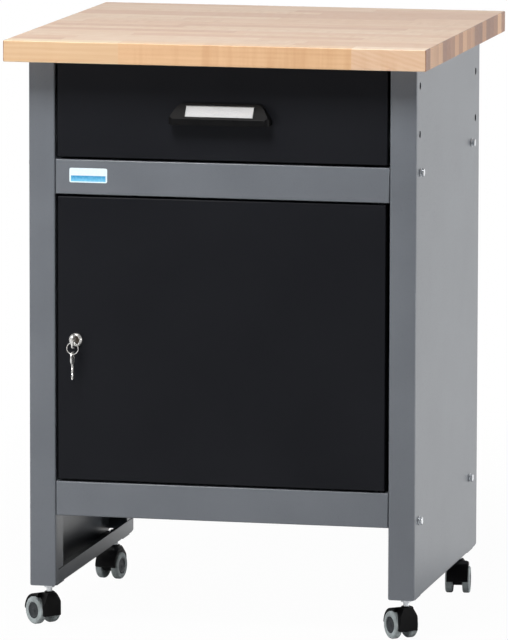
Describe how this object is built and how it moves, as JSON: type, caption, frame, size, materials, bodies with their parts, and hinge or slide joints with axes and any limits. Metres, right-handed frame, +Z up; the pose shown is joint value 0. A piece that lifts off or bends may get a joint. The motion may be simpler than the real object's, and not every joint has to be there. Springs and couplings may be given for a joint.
{
  "type": "workbench",
  "caption": "Mobile workbench: solid wood top on a folded steel cabinet with a sliding drawer, a locking cupboard door and twin-wheel castors.",
  "frame": {"origin": "on the floor, under the middle of the square worktop", "axes": "+X to the right seen from the front, +Y to the back, +Z up; the drawer and the door open towards -Y"},
  "size_m": [0.6, 0.6, 0.84],
  "materials": {
    "beech": "oiled beech staves, satin",
    "grey_paint": "satin powder coat, blue-grey",
    "black_paint": "satin powder coat, black",
    "black_plastic": "moulded, fine texture",
    "zinc": "bright zinc plating",
    "nickel": "nickel plated, polished",
    "galvanised": "galvanised cold rolled strip",
    "hub_plastic": "moulded, satin",
    "grey_tread": "soft grey tread"
  },
  "bodies": {
    "cabinet": {"worktop": "beech", "side_panel_left": "grey_paint", "side_panel_right": "grey_paint", "upper_rail": "grey_paint", "lower_rail": "grey_paint", "cupboard_ceiling": "grey_paint", "cupboard_floor": "grey_paint", "back_panel": "grey_paint", "frame_bolt_left_front_upper": "zinc", "frame_bolt_left_front_lower": "zinc", "frame_bolt_left_rear_upper": "zinc", "frame_bolt_left_rear_lower": "zinc", "frame_bolt_right_front_upper": "zinc", "frame_bolt_right_front_lower": "zinc", "frame_bolt_right_rear_upper": "zinc", "frame_bolt_right_rear_lower": "zinc", "runner_fixed_left": "galvanised", "runner_fixed_right": "galvanised", "hinge_pin_lower": "zinc", "hinge_pin_upper": "zinc", "castor_stem_front_left": "zinc", "castor_stem_front_right": "zinc", "castor_stem_rear_left": "zinc", "castor_stem_rear_right": "zinc"},
    "drawer": {"drawer_front": "black_paint", "drawer_box": "black_paint", "drawer_pull": "black_plastic", "runner_inner_left": "galvanised", "runner_inner_right": "galvanised"},
    "runner_left": {"runner_middle_left": "galvanised"},
    "runner_right": {"runner_middle_right": "galvanised"},
    "door": {"door": "black_paint", "lock_housing": "nickel", "lock_nut": "zinc"},
    "lock": {"lock_plug": "nickel", "lock_cam": "zinc"},
    "key": {"key": "nickel"},
    "key_ring": {"key_ring": "nickel"},
    "spare_key": {"spare_key": "nickel"},
    "castor_front_left": {"castor_hood_front_left": "black_plastic"},
    "castor_front_right": {"castor_hood_front_right": "black_plastic"},
    "castor_rear_left": {"castor_hood_rear_left": "black_plastic"},
    "castor_rear_right": {"castor_hood_rear_right": "black_plastic"},
    "wheel_front_left_a": {"wheel_hub_front_left_a": "hub_plastic", "wheel_tread_front_left_a": "grey_tread"},
    "wheel_front_left_b": {"wheel_hub_front_left_b": "hub_plastic", "wheel_tread_front_left_b": "grey_tread"},
    "wheel_front_right_a": {"wheel_hub_front_right_a": "hub_plastic", "wheel_tread_front_right_a": "grey_tread"},
    "wheel_front_right_b": {"wheel_hub_front_right_b": "hub_plastic", "wheel_tread_front_right_b": "grey_tread"},
    "wheel_rear_left_a": {"wheel_hub_rear_left_a": "hub_plastic", "wheel_tread_rear_left_a": "grey_tread"},
    "wheel_rear_left_b": {"wheel_hub_rear_left_b": "hub_plastic", "wheel_tread_rear_left_b": "grey_tread"},
    "wheel_rear_right_a": {"wheel_hub_rear_right_a": "hub_plastic", "wheel_tread_rear_right_a": "grey_tread"},
    "wheel_rear_right_b": {"wheel_hub_rear_right_b": "hub_plastic", "wheel_tread_rear_right_b": "grey_tread"}
  },
  "joints": [
    {"name": "drawer_slide", "type": "slide", "parent": "cabinet", "child": "drawer", "axis": [0, -1, 0], "range_m": [0, 0.4]},
    {"name": "runner_left_slide", "type": "slide", "parent": "cabinet", "child": "runner_left", "axis": [0, -1, 0], "range_m": [0, 0.2]},
    {"name": "runner_right_slide", "type": "slide", "parent": "cabinet", "child": "runner_right", "axis": [0, -1, 0], "range_m": [0, 0.2]},
    {"name": "door_hinge", "type": "hinge", "parent": "cabinet", "child": "door", "pos_m": [0.2275, -0.238, 0.4165], "axis": [0, 0, 1], "range_deg": [0, 105]},
    {"name": "lock_turn", "type": "hinge", "parent": "door", "child": "lock", "pos_m": [-0.2092, -0.246, 0.4148], "axis": [0, 1, 0], "range_deg": [0, 90]},
    {"name": "key_pull", "type": "slide", "parent": "lock", "child": "key", "axis": [0, -1, 0], "range_m": [0, 0.03]},
    {"name": "key_ring_swing", "type": "hinge", "parent": "key", "child": "key_ring", "pos_m": [-0.2092, -0.2661, 0.4133], "axis": [1, 0, 0], "range_deg": [-60, 8]},
    {"name": "spare_key_swing", "type": "hinge", "parent": "key_ring", "child": "spare_key", "pos_m": [-0.2092, -0.2661, 0.3969], "axis": [1, 0, 0], "range_deg": [-45, 8]},
    {"name": "castor_front_left_swivel", "type": "hinge", "parent": "cabinet", "child": "castor_front_left", "pos_m": [-0.258, -0.209, 0.048], "axis": [0, 0, 1], "continuous": true},
    {"name": "castor_front_right_swivel", "type": "hinge", "parent": "cabinet", "child": "castor_front_right", "pos_m": [0.258, -0.209, 0.048], "axis": [0, 0, 1], "continuous": true},
    {"name": "castor_rear_left_swivel", "type": "hinge", "parent": "cabinet", "child": "castor_rear_left", "pos_m": [-0.258, 0.186, 0.048], "axis": [0, 0, 1], "continuous": true},
    {"name": "castor_rear_right_swivel", "type": "hinge", "parent": "cabinet", "child": "castor_rear_right", "pos_m": [0.258, 0.186, 0.048], "axis": [0, 0, 1], "continuous": true},
    {"name": "wheel_front_left_a_roll", "type": "hinge", "parent": "castor_front_left", "child": "wheel_front_left_a", "pos_m": [-0.26939, -0.19924, 0.01983], "axis": [-0.6508, -0.7593, 0], "continuous": true},
    {"name": "wheel_front_left_b_roll", "type": "hinge", "parent": "castor_front_left", "child": "wheel_front_left_b", "pos_m": [-0.26939, -0.19924, 0.01983], "axis": [-0.6508, -0.7593, 0], "continuous": true},
    {"name": "wheel_front_right_a_roll", "type": "hinge", "parent": "castor_front_right", "child": "wheel_front_right_a", "pos_m": [0.24852, -0.19738, 0.01983], "axis": [-0.7749, -0.632, 0], "continuous": true},
    {"name": "wheel_front_right_b_roll", "type": "hinge", "parent": "castor_front_right", "child": "wheel_front_right_b", "pos_m": [0.24852, -0.19738, 0.01983], "axis": [-0.7749, -0.632, 0], "continuous": true},
    {"name": "wheel_rear_left_a_roll", "type": "hinge", "parent": "castor_rear_left", "child": "wheel_rear_left_a", "pos_m": [-0.2606, 0.17123, 0.01983], "axis": [0.9848, -0.1736, 0], "continuous": true},
    {"name": "wheel_rear_left_b_roll", "type": "hinge", "parent": "castor_rear_left", "child": "wheel_rear_left_b", "pos_m": [-0.2606, 0.17123, 0.01983], "axis": [0.9848, -0.1736, 0], "continuous": true},
    {"name": "wheel_rear_right_a_roll", "type": "hinge", "parent": "castor_rear_right", "child": "wheel_rear_right_a", "pos_m": [0.25983, 0.17111, 0.01983], "axis": [0.9925, 0.1219, 0], "continuous": true},
    {"name": "wheel_rear_right_b_roll", "type": "hinge", "parent": "castor_rear_right", "child": "wheel_rear_right_b", "pos_m": [0.25983, 0.17111, 0.01983], "axis": [0.9925, 0.1219, 0], "continuous": true}
  ],
  "couplings": [
    {"joint": "runner_left_slide", "follows": "drawer_slide", "ratio": 0.5},
    {"joint": "runner_right_slide", "follows": "drawer_slide", "ratio": 0.5}
  ]
}
